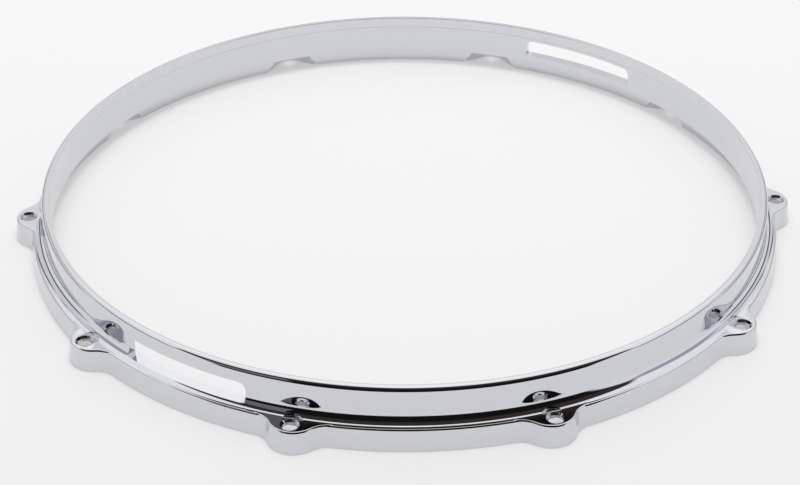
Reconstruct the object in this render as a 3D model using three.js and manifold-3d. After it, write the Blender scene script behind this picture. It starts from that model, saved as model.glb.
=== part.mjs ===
import * as THREE from 'three';
import { mergeVertices } from 'three/addons/utils/BufferGeometryUtils.js';
import Module from 'manifold-3d';

// Die-cast counter hoop for a 14 inch snare drum, in millimetres, +Z up.
// The hoop stands on the lower edge of its skirt, with the ring's axis at the origin.
// The casting is a wall that the sticks strike, a flange that runs out from its foot through a
// hollow cove and presses on the head's own hoop, a skirt that hangs down outside that hoop, and
// ten ears for the tension rods.

// Skirt
const HEAD_CLEARANCE_RADIUS = 186; // inside of the skirt, which passes over the head's hoop
const SKIRT_THICKNESS = 2.9; // at its upper edge
const SKIRT_DRAFT = 1.1; // the skirt grows outwards by this much down to its foot
const SKIRT_EDGE_ROUND = 1.1; // upper outer edge
const FOOT_ROUND = 0.5; // lower outer edge
const FOOT_CHAMFER = 0.6; // lower inner edge

// Flange
const SEAT_HEIGHT = 9.4; // underside of the flange, which sits on the head's hoop
const FLANGE_EDGE_THICKNESS = 2; // from the seat up to the skirt's upper edge
const FLANGE_RISE = 2.3; // climb of its top from the skirt's edge to the wall's face
const COVE_RADIUS = 5.6; // hollow round between the flange and the wall

// Wall
const SEAT_WIDTH = 5.8; // from the skirt's inner face in to the wall's
const WALL_THICKNESS = 3.2; // at the wall's foot
const WALL_FLARE = 0.3; // the outer face leans out by this much up to the rim
const WALL_HEIGHT = 16.3; // from the flange's root up to the rim
const RIM_OUTER_ROUND = 2.4;
const RIM_INNER_ROUND = 0.5;
const RIM_LIP = 0.5; // the wall thickens inwards by this much near the rim
const RIM_LIP_START = 6; // distance of the lip's lower end below the rim
const RIM_LIP_RISE = 1.5; // height over which the lip grows

// Snare gates: two slots through the wall, on opposite sides
const GATE_COUNT = 2;
const GATE_LENGTH = 67.5; // along the wall's outer face
const GATE_HEIGHT = 8.3; // at the wall's inner face
const GATE_SILL_HEIGHT = 14.9; // at the wall's inner face, above the foot
const GATE_REACH = 3.4; // the slot runs out over the cove, this far past the wall's outer face
const GATE_SILL_FALL = 2.9; // the sill slopes down by this much on its way out
const GATE_CORNER_RADIUS = 3.7;
const GATE_SILL_CORNER_RISE = 2.2; // the sill climbs this much into each round end

// Ears
const EAR_COUNT = 10;
const EAR_REACH = 3.1; // from the skirt's upper edge out to the bolt circle
const EAR_HEIGHT = 11.7; // top face above the foot
const EAR_NOSE_RADIUS = 11.7;
const EAR_NOSE_SETBACK = 5.6; // centre of the nose's round, this far in from the rod hole
const EAR_FLANK_RADIUS = 12; // hollow curve that runs each side of the ear into the skirt
const EAR_EDGE_ROUND = 1.1;
const ROD_HOLE_RADIUS = 3.3;
const COUNTERSINK_RADIUS = 4.4;
const COUNTERSINK_DEPTH = 1.1;
const SPOT_FACE_RADIUS = 6.9; // circular cut that clears the washer behind the hole

// Pockets under the ears, open below and towards the drum
const POCKET_TOP_WIDTH = 18;
const POCKET_FOOT_WIDTH = 31;
const POCKET_OPENING_HEIGHT = 8; // in the skirt's inner face
const POCKET_WEB = 1.6; // the skirt is this thick above the opening
const POCKET_CORNER_RADIUS = 2;
const EAR_PLATE_THICKNESS = 2.4; // above the pocket
const EAR_WALL_THICKNESS = 2.4; // round the pocket

const OVERRUN = 2; // how far every cut runs past the faces that it opens

const RING_SEGMENTS = 120;
const ROUND_SEGMENTS = 20;
const CORNER_STEPS = 2;

// Radii and heights that follow from the sizes above
const skirtRadius = HEAD_CLEARANCE_RADIUS + SKIRT_THICKNESS;
const footRadius = skirtRadius + SKIRT_DRAFT;
const wallInnerRadius = HEAD_CLEARANCE_RADIUS - SEAT_WIDTH;
const wallFootRadius = wallInnerRadius + WALL_THICKNESS;
const wallTopRadius = wallFootRadius + WALL_FLARE;
const rimInnerRadius = wallInnerRadius - RIM_LIP;
const skirtEdgeHeight = SEAT_HEIGHT + FLANGE_EDGE_THICKNESS;
const flangeRootHeight = skirtEdgeHeight + FLANGE_RISE;
const rimHeight = flangeRootHeight + WALL_HEIGHT;
const boltCircleRadius = skirtRadius + EAR_REACH;
const noseCentreRadius = boltCircleRadius - EAR_NOSE_SETBACK;

// Points of a round from one angle to another, both in degrees, in the plane of a profile.
function arc(centreX, centreY, radius, from, to, steps) {
  const points = [];
  for (let i = 0; i <= steps; i++) {
    const angle = THREE.MathUtils.degToRad(THREE.MathUtils.lerp(from, to, i / steps));
    points.push(new THREE.Vector2(centreX + radius * Math.cos(angle), centreY + radius * Math.sin(angle)));
  }
  return points;
}

function point(x, y) {
  return new THREE.Vector2(x, y);
}

// Points of the round that cuts the corner between two neighbours of a profile.
function cornerRound(before, corner, after, radius, steps) {
  const toBefore = before.clone().sub(corner).normalize();
  const toAfter = after.clone().sub(corner).normalize();
  const half = Math.acos(toBefore.dot(toAfter)) / 2;
  const middle = toBefore.clone().add(toAfter).normalize();
  const centre = corner.clone().addScaledVector(middle, radius / Math.sin(half));
  const tangent = radius / Math.tan(half);
  const first = corner.clone().addScaledVector(toBefore, tangent).sub(centre);
  const last = corner.clone().addScaledVector(toAfter, tangent).sub(centre);
  const from = THREE.MathUtils.radToDeg(first.angle());
  const turn = THREE.MathUtils.radToDeg(Math.atan2(first.cross(last), first.dot(last)));
  return arc(centre.x, centre.y, radius, from, from + turn, steps);
}

const wasm = await Module();
wasm.setup();

// A closed geometry becomes a solid once its position alone tells the vertices apart.
function solid(geometry) {
  const bare = geometry.clone();
  bare.deleteAttribute('normal');
  bare.deleteAttribute('uv');
  const merged = mergeVertices(bare);
  const mesh = new wasm.Mesh({
    numProp: 3,
    vertProperties: new Float32Array(merged.attributes.position.array),
    triVerts: new Uint32Array(merged.index.array),
  });
  return new wasm.Manifold(mesh);
}

function geometryOf(manifold) {
  const mesh = manifold.getMesh();
  const geometry = new THREE.BufferGeometry();
  geometry.setAttribute('position', new THREE.BufferAttribute(new Float32Array(mesh.vertProperties), 3));
  geometry.setIndex(new THREE.BufferAttribute(new Uint32Array(mesh.triVerts), 1));
  const facets = geometry.toNonIndexed();
  facets.computeVertexNormals();
  return facets;
}

// Turns a closed profile of (radius, height) points about the Z axis.
function revolve(profile, segments) {
  const geometry = new THREE.LatheGeometry([...profile, profile[0].clone()], segments);
  return geometry.rotateX(Math.PI / 2);
}

// Joins rings that hold the same number of points, and closes both ends.
// The flat outline tells how the end faces are divided.
function loft(rings, outline) {
  const count = outline.length;
  const positions = rings.flat().flatMap((p) => [p.x, p.y, p.z]);
  const index = [];
  for (let level = 0; level < rings.length - 1; level++) {
    for (let i = 0; i < count; i++) {
      const a = level * count + i;
      const b = level * count + (i + 1) % count;
      index.push(a, b, b + count, a, b + count, a + count);
    }
  }
  const last = (rings.length - 1) * count;
  for (const [a, b, c] of THREE.ShapeUtils.triangulateShape(outline, [])) {
    index.push(a, c, b);
    index.push(last + a, last + b, last + c);
  }
  const geometry = new THREE.BufferGeometry();
  geometry.setAttribute('position', new THREE.Float32BufferAttribute(positions, 3));
  geometry.setIndex(index);
  return geometry;
}

function atHeight(outline, height) {
  return outline.map((p) => new THREE.Vector3(p.x, p.y, height));
}

// Section of the ring, from the foot up the outside, over the rim and down the inside.
function ringProfile() {
  const foot = point(footRadius, 0);
  const skirtEdge = point(skirtRadius, skirtEdgeHeight);
  const flangeRoot = point(wallFootRadius, flangeRootHeight);
  const rimEdge = point(wallTopRadius, rimHeight);
  const rimInside = point(rimInnerRadius, rimHeight);
  const lipTop = point(rimInnerRadius, rimHeight - RIM_LIP_START + RIM_LIP_RISE);
  const footInside = point(HEAD_CLEARANCE_RADIUS + FOOT_CHAMFER, 0);
  return [
    footInside,
    ...cornerRound(footInside, foot, skirtEdge, FOOT_ROUND, CORNER_STEPS - 1),
    ...cornerRound(foot, skirtEdge, flangeRoot, SKIRT_EDGE_ROUND, CORNER_STEPS),
    ...cornerRound(skirtEdge, flangeRoot, rimEdge, COVE_RADIUS, CORNER_STEPS + 2),
    ...cornerRound(flangeRoot, rimEdge, rimInside, RIM_OUTER_ROUND, CORNER_STEPS + 1),
    ...cornerRound(rimEdge, rimInside, lipTop, RIM_INNER_ROUND, CORNER_STEPS - 1),
    lipTop,
    point(wallInnerRadius, rimHeight - RIM_LIP_START),
    point(wallInnerRadius, SEAT_HEIGHT),
    point(HEAD_CLEARANCE_RADIUS, SEAT_HEIGHT),
    point(HEAD_CLEARANCE_RADIUS, FOOT_CHAMFER),
  ];
}

// Plan of an ear that points along +X: a round nose, and a hollow flank on each side that
// runs out into the circle given. Both ends are carried inwards to close inside the ring.
function earOutline(noseRadius, circleRadius, flankRadius, innerRadius) {
  const toNose = noseRadius + flankRadius;
  const toAxis = circleRadius + flankRadius;
  const cosine = (toAxis ** 2 + noseCentreRadius ** 2 - toNose ** 2) / (2 * toAxis * noseCentreRadius);
  const spread = Math.acos(cosine);
  const centre = point(toAxis * Math.cos(spread), toAxis * Math.sin(spread));
  const noseTurn = THREE.MathUtils.radToDeg(Math.atan2(centre.y, centre.x - noseCentreRadius));
  const skirtTurn = THREE.MathUtils.radToDeg(spread);
  const nose = arc(noseCentreRadius, 0, noseRadius, -noseTurn, noseTurn, ROUND_SEGMENTS / 2);
  const flank = arc(centre.x, centre.y, flankRadius, noseTurn - 180, skirtTurn - 180, ROUND_SEGMENTS / 4);
  const mirrored = flank.map((p) => point(p.x, -p.y)).reverse();
  const inner = point(innerRadius * Math.cos(spread), innerRadius * Math.sin(spread));
  return [point(inner.x, -inner.y), ...mirrored.slice(0, -1), ...nose, ...flank.slice(1), inner];
}

// An ear from the foot up to its top face, with the skirt's draft and rounded edges.
function ear() {
  const innerRadius = HEAD_CLEARANCE_RADIUS + SKIRT_THICKNESS / 2;
  const ring = (height, offset) => {
    const outline = earOutline(EAR_NOSE_RADIUS + offset, skirtRadius + offset - FOOT_ROUND / 2,
      EAR_FLANK_RADIUS - offset, innerRadius);
    return atHeight(outline, height);
  };
  const foot = arc(SKIRT_DRAFT - FOOT_ROUND, FOOT_ROUND, FOOT_ROUND, -90, 0, CORNER_STEPS - 1);
  const top = arc(-EAR_EDGE_ROUND, EAR_HEIGHT - EAR_EDGE_ROUND, EAR_EDGE_ROUND, 0, 90, CORNER_STEPS);
  const rings = [...foot, ...top].map((p) => ring(p.y, p.x));
  return loft(rings, rings[0].map((p) => point(p.x, p.y)));
}

// A wedge that widens towards the foot, from a radius of the ring out past the ear's nose.
function pocketWedge(near, ceiling) {
  const slope = (POCKET_FOOT_WIDTH - POCKET_TOP_WIDTH) / 2 / POCKET_OPENING_HEIGHT;
  const far = boltCircleRadius + EAR_NOSE_RADIUS;
  const footHalf = POCKET_FOOT_WIDTH / 2 + slope * OVERRUN;
  const topHalf = POCKET_FOOT_WIDTH / 2 - slope * ceiling;
  const corner = cornerRound(point(footHalf, -OVERRUN), point(topHalf, ceiling),
    point(-topHalf, ceiling), POCKET_CORNER_RADIUS, CORNER_STEPS);
  const mirrored = corner.map((p) => point(-p.x, p.y)).reverse();
  const face = [point(footHalf, -OVERRUN), ...corner, ...mirrored, point(-footHalf, -OVERRUN)];
  return loft([near, far].map((x) => face.map((p) => new THREE.Vector3(x, p.x, p.y))), face);
}

// The hollow under an ear: a low opening in the skirt and a higher room behind it, held inside
// the ear's walls.
function earPocket() {
  const near = HEAD_CLEARANCE_RADIUS - OVERRUN;
  const opening = solid(pocketWedge(near, POCKET_OPENING_HEIGHT));
  const room = solid(pocketWedge(HEAD_CLEARANCE_RADIUS + POCKET_WEB, EAR_HEIGHT - EAR_PLATE_THICKNESS));
  const ring = (height, inset) => atHeight(earOutline(EAR_NOSE_RADIUS - inset, skirtRadius - inset,
    EAR_FLANK_RADIUS + inset, near - OVERRUN), height);
  const rings = [
    ring(-OVERRUN * 2, EAR_WALL_THICKNESS - SKIRT_DRAFT),
    ring(EAR_HEIGHT, EAR_WALL_THICKNESS),
  ];
  const walls = loft(rings, rings[0].map((p) => point(p.x, p.y)));
  return opening.add(room).intersect(solid(walls));
}

// Rod hole with its countersink, and the round cut above the ear that clears the washer.
function rodHole() {
  const top = flangeRootHeight + OVERRUN;
  const profile = [
    point(0, -OVERRUN),
    point(ROD_HOLE_RADIUS, -OVERRUN),
    point(ROD_HOLE_RADIUS, EAR_HEIGHT - COUNTERSINK_DEPTH),
    point(COUNTERSINK_RADIUS, EAR_HEIGHT),
    point(SPOT_FACE_RADIUS, EAR_HEIGHT),
    point(SPOT_FACE_RADIUS, top),
    point(0, top),
  ];
  return revolve(profile, ROUND_SEGMENTS).translate(boltCircleRadius, 0, 0);
}

// A slot bent round the ring, as upright sections from one round end to the other.
function snareGate() {
  const straight = GATE_LENGTH / 2 - GATE_CORNER_RADIUS;
  const corner = arc(straight, -GATE_CORNER_RADIUS, GATE_CORNER_RADIUS, 0, 90, CORNER_STEPS + 1);
  const stretches = Math.round(RING_SEGMENTS * GATE_LENGTH / (2 * Math.PI * wallFootRadius));
  const top = [];
  for (let i = 1; i < stretches; i++) {
    top.push(point(THREE.MathUtils.lerp(straight, -straight, i / stretches), 0));
  }
  const mirrored = corner.map((p) => point(-p.x, p.y)).reverse();
  const inner = rimInnerRadius - OVERRUN;
  const outer = wallFootRadius + GATE_REACH;
  const slope = GATE_SILL_FALL / (outer - wallInnerRadius);
  const sections = [...corner, ...top, ...mirrored].map((p) => {
    const angle = p.x / wallFootRadius;
    const climb = -p.y * GATE_SILL_CORNER_RISE / GATE_CORNER_RADIUS;
    const sill = (radius) => GATE_SILL_HEIGHT + climb - slope * (radius - wallInnerRadius);
    const lintel = GATE_SILL_HEIGHT + GATE_HEIGHT + p.y;
    const corners = [point(outer, sill(outer)), point(outer, lintel), point(inner, lintel),
      point(inner, sill(inner))];
    return corners.map((q) => new THREE.Vector3(q.x * Math.cos(angle), q.x * Math.sin(angle), q.y));
  });
  return loft(sections, [point(1, 0), point(1, 1), point(0, 1), point(0, 0)]);
}

function turned(geometry, angle) {
  return solid(geometry.clone().rotateZ(angle));
}

function hoopCasting() {
  let body = solid(revolve(ringProfile(), RING_SEGMENTS));
  for (let i = 0; i < EAR_COUNT; i++) {
    body = body.add(turned(ear(), i * 2 * Math.PI / EAR_COUNT));
  }
  for (let i = 0; i < EAR_COUNT; i++) {
    const angle = i * 360 / EAR_COUNT;
    body = body.subtract(earPocket().rotate([0, 0, angle]));
    body = body.subtract(turned(rodHole(), THREE.MathUtils.degToRad(angle)));
  }
  for (let i = 0; i < GATE_COUNT; i++) {
    body = body.subtract(turned(snareGate(), Math.PI / 2 + i * 2 * Math.PI / GATE_COUNT));
  }
  return geometryOf(body);
}

const chrome = new THREE.MeshStandardMaterial({ color: 0xc9cbd0, roughness: 0.06, metalness: 1 });

const casting = new THREE.Mesh(hoopCasting(), chrome);
casting.name = 'hoop_casting';

const group = new THREE.Group();
group.add(casting);

export default group;
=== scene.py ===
import math

import bpy
from mathutils import Matrix, Vector


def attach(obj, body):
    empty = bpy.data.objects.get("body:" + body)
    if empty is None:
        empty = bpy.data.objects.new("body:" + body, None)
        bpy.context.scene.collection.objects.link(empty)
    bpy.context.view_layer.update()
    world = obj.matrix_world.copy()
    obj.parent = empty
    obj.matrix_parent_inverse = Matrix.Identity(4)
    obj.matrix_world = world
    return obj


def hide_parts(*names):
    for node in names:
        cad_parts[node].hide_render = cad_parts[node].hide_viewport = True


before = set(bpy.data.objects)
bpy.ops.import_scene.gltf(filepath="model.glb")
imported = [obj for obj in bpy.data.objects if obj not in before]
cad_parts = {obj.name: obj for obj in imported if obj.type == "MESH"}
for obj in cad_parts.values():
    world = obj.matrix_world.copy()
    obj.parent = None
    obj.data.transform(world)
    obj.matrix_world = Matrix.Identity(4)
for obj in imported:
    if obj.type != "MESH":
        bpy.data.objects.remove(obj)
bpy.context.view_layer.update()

# A die-cast snare drum hoop in mirror chrome, on a pale floor.
# Lengths are metres. MM turns a size in millimetres into one.
MM = 0.001

# Skirt
HEAD_CLEARANCE_RADIUS = 186 * MM
SKIRT_THICKNESS = 2.9 * MM
SKIRT_DRAFT = 1.1 * MM
SKIRT_EDGE_ROUND = 1.1 * MM
FOOT_ROUND = 0.5 * MM
FOOT_CHAMFER = 0.6 * MM

# Flange
SEAT_HEIGHT = 9.4 * MM
FLANGE_EDGE_THICKNESS = 2 * MM
FLANGE_RISE = 2.3 * MM
COVE_RADIUS = 5.6 * MM
FLANGE_SAG_RADIUS = 187.2 * MM
FLANGE_SAG_HEIGHT = 0.35 * MM  # above the skirt's upper edge
FLANGE_SAG_ROUND = 5.5 * MM

# Wall
SEAT_WIDTH = 5.8 * MM
WALL_THICKNESS = 3.2 * MM
WALL_FLARE = 0.3 * MM
WALL_HEIGHT = 16.3 * MM
RIM_OUTER_ROUND = 2.4 * MM
RIM_INNER_ROUND = 0.25 * MM
RIM_LIP = 0.5 * MM
RIM_LIP_START = 6 * MM
RIM_LIP_RISE = 0.6 * MM

# Snare gates
GATE_COUNT = 2
GATE_LENGTH = 67.5 * MM
GATE_LINTEL_HEIGHT = 22.5 * MM
GATE_SILL_HEIGHT = 12.9 * MM
GATE_REACH = 3.4 * MM
GATE_SILL_FALL = 0.2 * MM
GATE_CORNER_RADIUS = 3.7 * MM
GATE_SILL_CORNER_RISE = 0.3 * MM

# Ears
EAR_COUNT = 10
EAR_REACH = 3.1 * MM
EAR_HEIGHT = 11.7 * MM
EAR_NOSE_RADIUS = 11.7 * MM
EAR_NOSE_SETBACK = 5.6 * MM
EAR_FLANK_RADIUS = 12 * MM
EAR_EDGE_ROUND = 1.1 * MM
ROD_HOLE_RADIUS = 3.3 * MM
COUNTERSINK_RADIUS = 4.4 * MM
COUNTERSINK_DEPTH = 1.1 * MM
SPOT_FACE_RADIUS = 6.9 * MM

# Pockets under the ears
POCKET_TOP_WIDTH = 18 * MM
POCKET_FOOT_WIDTH = 31 * MM
POCKET_OPENING_HEIGHT = 8 * MM
POCKET_WEB = 1.6 * MM
POCKET_CORNER_RADIUS = 2 * MM
EAR_PLATE_THICKNESS = 2.4 * MM
EAR_WALL_THICKNESS = 2.4 * MM

OVERRUN = 2 * MM
SMALL_ROUND = 0.25 * MM  # the soft edge that casting and plating leave on seat, lip and holes

# Fineness of the mesh
RING_STEPS = 720
ARC_STEP = math.radians(8)
HOLE_STEPS = 64
SMOOTHING_ANGLE = math.radians(18)  # a larger turn between two faces shows as an edge

# Camera, fitted to the ear holes and the rim. The azimuth is where the camera stands, seen
# from the hoop's axis. Reach and rise are measured from the point of the axis that is level
# with the ears' top faces, and the aim is a point at that level.
CAMERA_AZIMUTH = math.radians(303.402)
CAMERA_REACH = 991.82 * MM
CAMERA_RISE = 605.22 * MM
AIM_ASIDE = -2.288 * MM
AIM_TOWARDS = 33.477 * MM
CAMERA_ROLL = math.radians(-0.034)
FOCAL_PIXELS = 2262.52
IMAGE_WIDTH = 800
SENSOR_WIDTH_MM = 36
CLIP_START = 10 * MM

skirt_radius = HEAD_CLEARANCE_RADIUS + SKIRT_THICKNESS
foot_radius = skirt_radius + SKIRT_DRAFT
wall_inner_radius = HEAD_CLEARANCE_RADIUS - SEAT_WIDTH
wall_foot_radius = wall_inner_radius + WALL_THICKNESS
wall_top_radius = wall_foot_radius + WALL_FLARE
rim_inner_radius = wall_inner_radius - RIM_LIP
skirt_edge_height = SEAT_HEIGHT + FLANGE_EDGE_THICKNESS
flange_root_height = skirt_edge_height + FLANGE_RISE
rim_height = flange_root_height + WALL_HEIGHT
bolt_circle_radius = skirt_radius + EAR_REACH
nose_centre_radius = bolt_circle_radius - EAR_NOSE_SETBACK

towards_camera = Vector((math.cos(CAMERA_AZIMUTH), math.sin(CAMERA_AZIMUTH), 0))
camera_right = Vector((-towards_camera.y, towards_camera.x, 0))


def arc(x, y, radius, start, end):
    """Points of a round from one angle to another, both in degrees."""
    turn = math.radians(end - start)
    steps = max(1, round(abs(turn) / ARC_STEP))
    angles = [math.radians(start) + turn * i / steps for i in range(steps + 1)]
    return [(x + radius * math.cos(a), y + radius * math.sin(a)) for a in angles]


def rounded(corners):
    """A closed outline through (x, y, round) corners, each cut by an arc of its own round."""
    points = []
    for i, (x, y, radius) in enumerate(corners):
        if not radius:
            points.append((x, y))
            continue
        here = Vector((x, y))
        before = (Vector(corners[i - 1][:2]) - here).normalized()
        after = (Vector(corners[(i + 1) % len(corners)][:2]) - here).normalized()
        half = before.angle(after) / 2
        middle = (before + after).normalized()
        centre = here + middle * radius / math.sin(half)
        first = here + before * radius / math.tan(half) - centre
        last = here + after * radius / math.tan(half) - centre
        start = math.degrees(math.atan2(first.y, first.x))
        turn = math.degrees(math.atan2(last.y, last.x)) - start
        turn = (turn + 180) % 360 - 180
        points += arc(centre.x, centre.y, radius, start, start + turn)
    return points


def mesh_piece(name, points, faces):
    mesh = bpy.data.meshes.new(name)
    mesh.from_pydata([tuple(p) for p in points], [], faces)
    mesh.validate()
    piece = bpy.data.objects.new(name, mesh)
    bpy.context.scene.collection.objects.link(piece)
    return piece


def lofted(rings, closed=False):
    """Points and faces of a body through rings of equal count, with flat ends or closed on itself."""
    count = len(rings[0])
    points = [p for ring in rings for p in ring]
    faces = []
    spans = len(rings) if closed else len(rings) - 1
    for level in range(spans):
        low = level * count
        high = (level + 1) % len(rings) * count
        for i in range(count):
            j = (i + 1) % count
            faces.append((low + i, low + j, high + j, high + i))
    if not closed:
        faces.append(tuple(range(count))[::-1])
        faces.append(tuple(range(len(points) - count, len(points))))
    return points, faces


def revolved(profile, steps):
    """Points and faces of a closed (radius, height) profile turned about the Z axis."""
    rings = []
    for i in range(steps):
        a = 2 * math.pi * i / steps
        rings.append([(r * math.cos(a), r * math.sin(a), z) for r, z in profile])
    points, faces = lofted(rings, closed=True)
    return points, [f[::-1] for f in faces]


def turned(body, angle):
    points, faces = body
    c = math.cos(angle)
    s = math.sin(angle)
    return [(x * c - y * s, x * s + y * c, z) for x, y, z in points], faces


def merged(bodies):
    """One list of points and faces for several bodies that don't touch."""
    points = []
    faces = []
    for some_points, some_faces in bodies:
        start = len(points)
        points += some_points
        faces += [tuple(i + start for i in face) for face in some_faces]
    return points, faces


def round_the_ring(body, count, first=0.0):
    return merged([turned(body, first + 2 * math.pi * i / count) for i in range(count)])


def apply_boolean(piece, tool, operation):
    """Joins or cuts the piece with a tool, and leaves the plain result as its mesh."""
    modifier = piece.modifiers.new(operation, "BOOLEAN")
    modifier.operation = operation
    modifier.solver = "MANIFOLD"
    modifier.object = tool
    depsgraph = bpy.context.evaluated_depsgraph_get()
    result = bpy.data.meshes.new_from_object(piece.evaluated_get(depsgraph))
    piece.modifiers.clear()
    piece.data = result
    bpy.data.objects.remove(tool)


def ring_section():
    """Section of the ring, from the foot up the outside, over the rim and down the inside."""
    return rounded([
        (HEAD_CLEARANCE_RADIUS + FOOT_CHAMFER, 0, 0),
        (foot_radius, 0, FOOT_ROUND),
        (skirt_radius, skirt_edge_height, SKIRT_EDGE_ROUND),
        (FLANGE_SAG_RADIUS, skirt_edge_height + FLANGE_SAG_HEIGHT, FLANGE_SAG_ROUND),
        (wall_foot_radius, flange_root_height, COVE_RADIUS),
        (wall_top_radius, rim_height, RIM_OUTER_ROUND),
        (rim_inner_radius, rim_height, RIM_INNER_ROUND),
        (rim_inner_radius, rim_height - RIM_LIP_START + RIM_LIP_RISE, SMALL_ROUND),
        (wall_inner_radius, rim_height - RIM_LIP_START, SMALL_ROUND),
        (wall_inner_radius, SEAT_HEIGHT, SMALL_ROUND),
        (HEAD_CLEARANCE_RADIUS, SEAT_HEIGHT, SMALL_ROUND),
        (HEAD_CLEARANCE_RADIUS, FOOT_CHAMFER, 0),
    ])


def ear_outline(nose_radius, circle_radius, flank_radius, inner_radius):
    """Plan of an ear along +X: a round nose, and hollow flanks that run out into the circle."""
    to_nose = nose_radius + flank_radius
    to_axis = circle_radius + flank_radius
    cosine = (to_axis**2 + nose_centre_radius**2 - to_nose**2) / (2 * to_axis * nose_centre_radius)
    spread = math.acos(cosine)
    x = to_axis * math.cos(spread)
    y = to_axis * math.sin(spread)
    nose_turn = math.degrees(math.atan2(y, x - nose_centre_radius))
    skirt_turn = math.degrees(spread)
    nose = arc(nose_centre_radius, 0, nose_radius, -nose_turn, nose_turn)
    flank = arc(x, y, flank_radius, nose_turn - 180, skirt_turn - 180)
    inner = (inner_radius * math.cos(spread), inner_radius * math.sin(spread))
    mirrored = [(px, -py) for px, py in flank[::-1]]
    return [(inner[0], -inner[1])] + mirrored[:-1] + nose + flank[1:] + [inner]


def at_height(outline, height):
    return [(x, y, height) for x, y in outline]


def ear():
    """An ear from the foot to its top face, with the skirt's draft and rounded edges.

    Its outline meets the skirt just inside the skirt's own face, so that the two are one body.
    """
    inner_radius = HEAD_CLEARANCE_RADIUS + SKIRT_THICKNESS / 2
    foot = arc(SKIRT_DRAFT - FOOT_ROUND, FOOT_ROUND, FOOT_ROUND, -90, 0)
    top = arc(-EAR_EDGE_ROUND, EAR_HEIGHT - EAR_EDGE_ROUND, EAR_EDGE_ROUND, 0, 90)
    rings = []
    for offset, height in foot + top:
        outline = ear_outline(EAR_NOSE_RADIUS + offset, skirt_radius + offset - FOOT_ROUND / 2,
                              EAR_FLANK_RADIUS - offset, inner_radius)
        rings.append(at_height(outline, height))
    return lofted(rings)


def pocket_wedge(near, ceiling):
    """A wedge that widens towards the foot, from a radius of the ring out past the ear's nose."""
    slope = (POCKET_FOOT_WIDTH - POCKET_TOP_WIDTH) / 2 / POCKET_OPENING_HEIGHT
    foot_half = POCKET_FOOT_WIDTH / 2 + slope * OVERRUN
    top_half = POCKET_FOOT_WIDTH / 2 - slope * ceiling
    face = rounded([
        (foot_half, -OVERRUN, 0),
        (top_half, ceiling, POCKET_CORNER_RADIUS),
        (-top_half, ceiling, POCKET_CORNER_RADIUS),
        (-foot_half, -OVERRUN, 0),
    ])
    far = bolt_circle_radius + EAR_NOSE_RADIUS
    return lofted([[(x, y, z) for y, z in face] for x in (near, far)])


def pocket_walls():
    """The space inside an ear's outer walls, which holds the wedges in."""
    bottom = (-OVERRUN * 2, EAR_WALL_THICKNESS - SKIRT_DRAFT)
    top = (EAR_HEIGHT, EAR_WALL_THICKNESS)
    rings = []
    for height, inset in (bottom, top):
        outline = ear_outline(EAR_NOSE_RADIUS - inset, skirt_radius - inset,
                              EAR_FLANK_RADIUS + inset, HEAD_CLEARANCE_RADIUS - OVERRUN * 2)
        rings.append(at_height(outline, height))
    return lofted(rings)


def rod_hole():
    """Rod hole with its countersink, and the round cut that clears the washer.

    The first and last points lie on the hole's axis. They serve the rounding and then go.
    """
    top = flange_root_height + OVERRUN
    profile = rounded([
        (0, -OVERRUN, 0),
        (ROD_HOLE_RADIUS, -OVERRUN, 0),
        (ROD_HOLE_RADIUS, EAR_HEIGHT - COUNTERSINK_DEPTH, SMALL_ROUND),
        (COUNTERSINK_RADIUS, EAR_HEIGHT, SMALL_ROUND),
        (SPOT_FACE_RADIUS, EAR_HEIGHT, SMALL_ROUND),
        (SPOT_FACE_RADIUS, top, 0),
        (0, top, 0),
    ])[1:-1]
    rings = []
    for r, z in profile:
        rings.append([(r * math.cos(2 * math.pi * i / HOLE_STEPS) + bolt_circle_radius,
                       r * math.sin(2 * math.pi * i / HOLE_STEPS), z) for i in range(HOLE_STEPS)])
    return lofted(rings)


def snare_gate():
    """A slot bent round the ring, as upright sections from one round end to the other."""
    straight = GATE_LENGTH / 2 - GATE_CORNER_RADIUS
    corner = arc(straight, -GATE_CORNER_RADIUS, GATE_CORNER_RADIUS, 0, 90)
    stretches = round(RING_STEPS * GATE_LENGTH / (2 * math.pi * wall_foot_radius))
    top = [(straight - 2 * straight * i / stretches, 0) for i in range(1, stretches)]
    mirrored = [(-x, y) for x, y in corner[::-1]]
    inner = rim_inner_radius - OVERRUN
    outer = wall_foot_radius + GATE_REACH
    slope = GATE_SILL_FALL / (outer - wall_inner_radius)
    rings = []
    for x, y in corner + top + mirrored:
        a = x / wall_foot_radius
        sill = GATE_SILL_HEIGHT - y * GATE_SILL_CORNER_RISE / GATE_CORNER_RADIUS
        inner_sill = sill - slope * (inner - wall_inner_radius)
        outer_sill = sill - slope * (outer - wall_inner_radius)
        lintel = GATE_LINTEL_HEIGHT + y
        section = [(outer, outer_sill), (outer, lintel), (inner, lintel), (inner, inner_sill)]
        rings.append([(r * math.cos(a), r * math.sin(a), z) for r, z in section])
    return lofted(rings)


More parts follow.
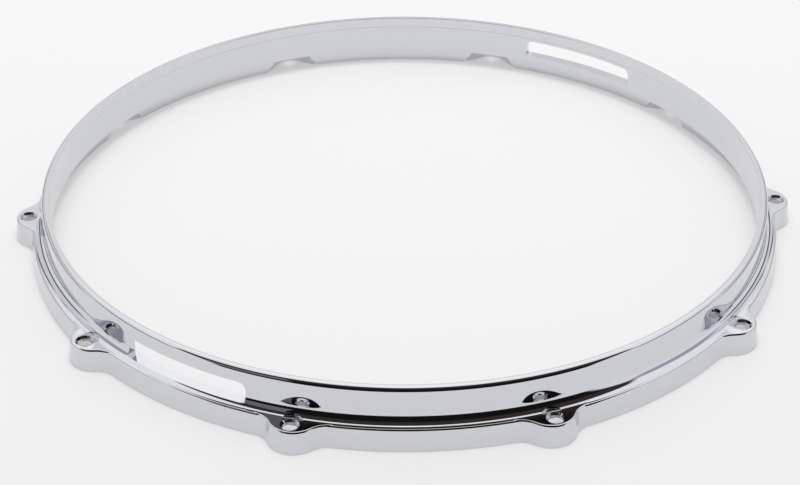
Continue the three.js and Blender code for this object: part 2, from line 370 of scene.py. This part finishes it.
def hoop_casting():
    """The whole casting, as one fine mesh in the place of the faceted solid."""
    piece = mesh_piece("plated_hoop", *revolved(ring_section(), RING_STEPS))
    ears = mesh_piece("ears", *round_the_ring(ear(), EAR_COUNT))
    opening = pocket_wedge(HEAD_CLEARANCE_RADIUS - OVERRUN, POCKET_OPENING_HEIGHT)
    hollow = pocket_wedge(HEAD_CLEARANCE_RADIUS + POCKET_WEB, EAR_HEIGHT - EAR_PLATE_THICKNESS)
    pockets = mesh_piece("pockets", *round_the_ring(opening, EAR_COUNT))
    hollows = mesh_piece("hollows", *round_the_ring(hollow, EAR_COUNT))
    walls = mesh_piece("walls", *round_the_ring(pocket_walls(), EAR_COUNT))
    holes = mesh_piece("holes", *round_the_ring(rod_hole(), EAR_COUNT))
    gates = mesh_piece("gates", *round_the_ring(snare_gate(), GATE_COUNT, math.pi / 2))
    apply_boolean(pockets, hollows, "UNION")
    apply_boolean(pockets, walls, "INTERSECT")
    apply_boolean(piece, ears, "UNION")
    apply_boolean(piece, pockets, "DIFFERENCE")
    apply_boolean(piece, holes, "DIFFERENCE")
    apply_boolean(piece, gates, "DIFFERENCE")
    piece.data.materials.clear()
    piece.data.materials.append(chrome_plate())
    piece.data.shade_smooth()
    piece.data.set_sharp_from_angle(angle=SMOOTHING_ANGLE)
    return piece


class Value:
    """A shader socket that takes part in Python sums."""

    def __init__(self, shader, socket):
        self.shader = shader
        self.socket = socket

    def maths(self, operation, *others):
        return self.shader.node("ShaderNodeMath", {"operation": operation}, {
            i: value for i, value in enumerate((self, *others))})

    def __add__(self, other):
        return self.maths("ADD", other)

    def __sub__(self, other):
        return self.maths("SUBTRACT", other)

    def __rsub__(self, other):
        return self.shader.value(other).maths("SUBTRACT", self)

    def __mul__(self, other):
        return self.maths("MULTIPLY", other)

    def __rmul__(self, other):
        return self.maths("MULTIPLY", other)

    def smooth(self, low, high):
        """Rises smoothly from 0 at low to 1 at high."""
        return self.shader.node("ShaderNodeMapRange", {"interpolation_type": "SMOOTHSTEP"}, {
            "Value": self, "From Min": low, "From Max": high})

    def between(self, low, high, soft):
        """Is 1 from low to high and 0 outside, with soft edges."""
        return self.smooth(low - soft, low + soft) * (1 - self.smooth(high - soft, high + soft))


class Shader:
    """Adds nodes to one material or world."""

    def __init__(self, owner):
        owner.use_nodes = True
        self.tree = owner.node_tree
        self.tree.nodes.clear()

    def node(self, kind, settings=None, values=None, output=0):
        new = self.tree.nodes.new(kind)
        for name, setting in (settings or {}).items():
            setattr(new, name, setting)
        for name, value in (values or {}).items():
            if isinstance(value, Value):
                self.tree.links.new(value.socket, new.inputs[name])
            else:
                new.inputs[name].default_value = value
        return Value(self, new.outputs[output]) if new.outputs else None

    def value(self, number):
        return self.node("ShaderNodeMath", {"operation": "ADD"}, {0: number, 1: 0.0})

    def mix(self, share, first, second):
        """A colour between two, by share."""
        return self.node("ShaderNodeMix", {"data_type": "RGBA"}, {
            "Factor": share, 6: first, 7: second}, output=2)

    def angle(self, rise, run):
        return self.node("ShaderNodeMath", {"operation": "ARCTAN2"}, {0: rise, 1: run})

    def dot(self, vector, direction):
        return self.node("ShaderNodeVectorMath", {"operation": "DOT_PRODUCT"}, {
            0: vector, 1: direction}, output="Value")


def grey(level):
    return (level, level, level, 1)


# Chrome
CHROME_COLOUR = (0.685, 0.69, 0.72, 1)
CHROME_ROUGHNESS = 0.035


def chrome_plate():
    """Mirror chrome, with a trace of blur."""
    material = bpy.data.materials.new("chrome_plate")
    shader = Shader(material)
    surface = shader.node("ShaderNodeBsdfPrincipled", {}, {
        "Base Color": CHROME_COLOUR, "Metallic": 1.0, "Roughness": CHROME_ROUGHNESS})
    shader.node("ShaderNodeOutputMaterial", {}, {"Surface": surface})
    return material


# Floor, with painted shade that darkens it towards the camera
FLOOR_FRONT_WITH_PAINTED_SHADE = 0.86
FLOOR_BACK = 0.97
PAINTED_SHADE_FADE = 0.35  # half the stretch, centred on the hoop's axis, over which the painted shade darkens the floor
FLOOR_ROUGHNESS = 0.9
FLOOR_BACKGROUND_SHARE = 0.4
FLOOR_SIZE = 12


def pale_floor():
    """A pale floor with painted shade that darkens it towards the camera, partly a plain background,
    which keeps the shadows faint.
    """
    material = bpy.data.materials.new("pale_floor")
    shader = Shader(material)
    place = shader.node("ShaderNodeTexCoord", output="Object")
    toward = shader.dot(place, towards_camera)
    # Painted shade: the floor's colour, and so also the glow of its background share, darkens towards
    # the camera.
    colour = shader.mix(toward.smooth(-PAINTED_SHADE_FADE, PAINTED_SHADE_FADE), grey(FLOOR_BACK), grey(FLOOR_FRONT_WITH_PAINTED_SHADE))
    painted = shader.node("ShaderNodeBsdfPrincipled", {}, {
        "Base Color": colour, "Roughness": FLOOR_ROUGHNESS, "Specular IOR Level": 0.0})
    background = shader.node("ShaderNodeEmission", {}, {"Color": colour, "Strength": 1.0})
    seen = shader.node("ShaderNodeLightPath", output="Is Camera Ray")
    mirrored = shader.node("ShaderNodeLightPath", output="Is Glossy Ray")
    share = (seen + mirrored) * FLOOR_BACKGROUND_SHARE
    surface = shader.node("ShaderNodeMixShader", {}, {"Fac": share, 1: painted, 2: background})
    shader.node("ShaderNodeOutputMaterial", {}, {"Surface": surface})
    half = FLOOR_SIZE / 2
    floor = mesh_piece("floor", [(-half, -half, 0), (half, -half, 0), (half, half, 0), (-half, half, 0)],
                       [(0, 1, 2, 3)])
    floor.data.materials.append(material)


# Room, by the direction of a reflected ray. A rise is the sine of the angle above the floor, a
# swing is the angle from straight away from the camera round to either side, and a height is
# the angle above the floor in the camera's upright plane. Toward, aside and side are parts of a
# ray of length 1: towards the camera, to the camera's right, and to either side. Two limits of
# a zone are where its border starts and stops fading. Where the zone also has an edge, they
# are the middles of its two borders, and the edge is half the width of each fade.
DEG = math.radians(1)
ANGLE_EDGE = 3 * DEG
ROOM_LEVEL = 0.5
WALL_LEVEL = 0.93

SOFTBOX_LEVEL = 1.2
SOFTBOX_RISE = (0.55, 0.61)
SOFTBOX_SWING = (8 * DEG, 30 * DEG)
SOFTBOX_SIDE_LOSS = 0.6

BACKDROP_LEVEL = 0.80
BACKDROP_FOOT_RISE = (0.02, 0.08)
BACKDROP_TOP_RISE = (0.43, 0.45)
BACKDROP_SWING = (66 * DEG, 78 * DEG)
BACKDROP_TILT = 0.096  # its upper edge is lower on the camera's right

LEDGE_LEVEL = 0.04
LEDGE_RISE = (0.418, 0.462)
LEDGE_RISE_EDGE = 0.01
LEDGE_SWING = (28 * DEG, 72 * DEG)

SIDE_RISE_EDGE = 0.02
SIDE_WALL_COLOUR = (0.66, 0.71, 0.80, 1)
SIDE_WALL_RISE = (0.47, 0.60)
SIDE_WALL_SWING = (54 * DEG, 72 * DEG)

SIDE_BAR_COLOUR = (0.40, 0.43, 0.50, 1)
SIDE_BAR_RISE = (0.30, 0.60)
SIDE_BAR_SWING = (74 * DEG, 108 * DEG)

SKIRTING_COLOUR = (0.11, 0.12, 0.18, 1)
SKIRTING_RISE = (0.08, 0.20)
SKIRTING_SWING = (28 * DEG, 76 * DEG)
SKIRTING_SWING_EDGE = 5 * DEG

DARK_LEVEL = 0.008
DARK_CEILING_COLOUR = (0.042, 0.034, 0.031, 1)
DARK_CEILING_HEIGHT = (47 * DEG, 63 * DEG)
DARK_TOWARD = (-0.06, 0.02)
DARK_SIDE = (0.78, 0.83)
DARK_CORNER_SIDE = 0.62  # from here to the sides, the dark begins nearer to the camera
DARK_CORNER_SLOPE = 1.2

SCREEN_LEVEL = 0.17
SCREEN_TOWARD_SLOPE = 0.495
SCREEN_RISE_SLOPE = 0.264
SCREEN_EDGE = 0.004
SCREEN_HEIGHT = (28 * DEG, 66 * DEG)


class ReflectedRay:
    """How a reflected ray points, by the camera and the floor."""

    def __init__(self, shader):
        direction = shader.node("ShaderNodeTexCoord", output="Generated")
        away = shader.dot(direction, -towards_camera)
        self.rise = shader.dot(direction, (0, 0, 1))
        self.toward = shader.dot(direction, towards_camera)
        self.aside = shader.dot(direction, camera_right)
        self.side = self.aside.maths("ABSOLUTE")
        self.swing = shader.angle(self.side, away)
        self.height = shader.angle(self.rise, self.toward)

    def window(self, swing, rise):
        """Is 1 between two swings and two rises, and 0 outside."""
        return self.swing.between(*swing, ANGLE_EDGE) * self.rise.between(*rise, SIDE_RISE_EDGE)


def studio(shader, ray):
    """White walls, a softbox above, a grey backdrop with a dark ledge, and bluish sides."""
    side_loss = SOFTBOX_SIDE_LOSS * ray.swing.smooth(*SOFTBOX_SWING)
    softbox = ray.rise.smooth(*SOFTBOX_RISE) * (1 - side_loss)
    colour = shader.mix(softbox, grey(WALL_LEVEL), grey(SOFTBOX_LEVEL))

    tilted_rise = ray.rise + ray.aside * BACKDROP_TILT
    below_top = 1 - tilted_rise.smooth(*BACKDROP_TOP_RISE)
    in_front = 1 - ray.swing.smooth(*BACKDROP_SWING)
    backdrop = below_top * in_front * ray.rise.smooth(*BACKDROP_FOOT_RISE)
    colour = shader.mix(backdrop, colour, grey(BACKDROP_LEVEL))

    beside = ray.swing.between(*LEDGE_SWING, ANGLE_EDGE)
    ledge = tilted_rise.between(*LEDGE_RISE, LEDGE_RISE_EDGE) * beside
    colour = shader.mix(ledge, colour, grey(LEDGE_LEVEL))

    colour = shader.mix(ray.window(SIDE_WALL_SWING, SIDE_WALL_RISE), colour, SIDE_WALL_COLOUR)
    colour = shader.mix(ray.window(SIDE_BAR_SWING, SIDE_BAR_RISE), colour, SIDE_BAR_COLOUR)

    low = 1 - ray.rise.smooth(*SKIRTING_RISE)
    skirting = ray.swing.between(*SKIRTING_SWING, SKIRTING_SWING_EDGE) * low
    return shader.mix(skirting, colour, SKIRTING_COLOUR)


def dark_room(shader, ray):
    """What is behind the camera: nearly black, brown high up, with a grey screen on its left."""
    ceiling = ray.height.smooth(*DARK_CEILING_HEIGHT)
    colour = shader.mix(ceiling, grey(DARK_LEVEL), DARK_CEILING_COLOUR)
    past_edge = ray.aside + ray.toward * SCREEN_TOWARD_SLOPE + ray.rise * SCREEN_RISE_SLOPE
    left = 1 - past_edge.smooth(-SCREEN_EDGE, SCREEN_EDGE)
    screen = left * ray.height.between(*SCREEN_HEIGHT, ANGLE_EDGE)
    return shader.mix(screen, colour, grey(SCREEN_LEVEL))


def room():
    """The room as the chrome sees it, bright behind the hoop and dark behind the camera.

    Only reflections see it. All other light finds an even grey.
    """
    world = bpy.data.worlds.new("room")
    bpy.context.scene.world = world
    shader = Shader(world)
    ray = ReflectedRay(shader)
    corner_cut = (ray.side - DARK_CORNER_SIDE).maths("MAXIMUM", 0.0) * DARK_CORNER_SLOPE
    dark = (ray.toward - corner_cut).smooth(*DARK_TOWARD) * (1 - ray.side.smooth(*DARK_SIDE))
    colour = shader.mix(dark, studio(shader, ray), dark_room(shader, ray))
    seen_in_chrome = shader.node("ShaderNodeLightPath", output="Is Glossy Ray")
    colour = shader.mix(seen_in_chrome, grey(ROOM_LEVEL), colour)
    surface = shader.node("ShaderNodeBackground", {}, {"Color": colour, "Strength": 1.0})
    shader.node("ShaderNodeOutputWorld", {}, {"Surface": surface})


# Lamp, a wide disk above the hoop and a little towards the camera
LAMP_SIZE = 1.6
LAMP_ENERGY = 28
LAMP_REACH = 0.35
LAMP_HEIGHT = 2.2


def soft_lamp():
    lamp = bpy.data.lights.new("soft_lamp", "AREA")
    lamp.shape = "DISK"
    lamp.size = LAMP_SIZE
    lamp.energy = LAMP_ENERGY
    piece = bpy.data.objects.new("soft_lamp", lamp)
    piece.location = towards_camera * LAMP_REACH + Vector((0, 0, LAMP_HEIGHT))
    piece.visible_glossy = False
    bpy.context.scene.collection.objects.link(piece)


def camera():
    ear_level = Vector((0, 0, EAR_HEIGHT))
    eye = ear_level + towards_camera * CAMERA_REACH + Vector((0, 0, CAMERA_RISE))
    aim = ear_level + towards_camera * AIM_TOWARDS + camera_right * AIM_ASIDE
    forward = (aim - eye).normalized()
    right = forward.cross(Vector((0, 0, 1))).normalized()
    up = right.cross(forward)
    rolled_right = right * math.cos(CAMERA_ROLL) + up * math.sin(CAMERA_ROLL)
    rolled_up = up * math.cos(CAMERA_ROLL) - right * math.sin(CAMERA_ROLL)
    data = bpy.data.cameras.new("camera")
    data.sensor_width = SENSOR_WIDTH_MM
    data.lens = FOCAL_PIXELS / IMAGE_WIDTH * SENSOR_WIDTH_MM
    data.clip_start = CLIP_START
    piece = bpy.data.objects.new("camera", data)
    turn = Matrix((rolled_right, rolled_up, -forward)).transposed().to_4x4()
    piece.matrix_world = Matrix.Translation(eye) @ turn
    bpy.context.scene.collection.objects.link(piece)
    bpy.context.scene.camera = piece


bpy.context.scene.view_settings.view_transform = "Standard"
camera()
room()
soft_lamp()
pale_floor()

hoop = hoop_casting()
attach(hoop, "root")
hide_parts("hoop_casting")
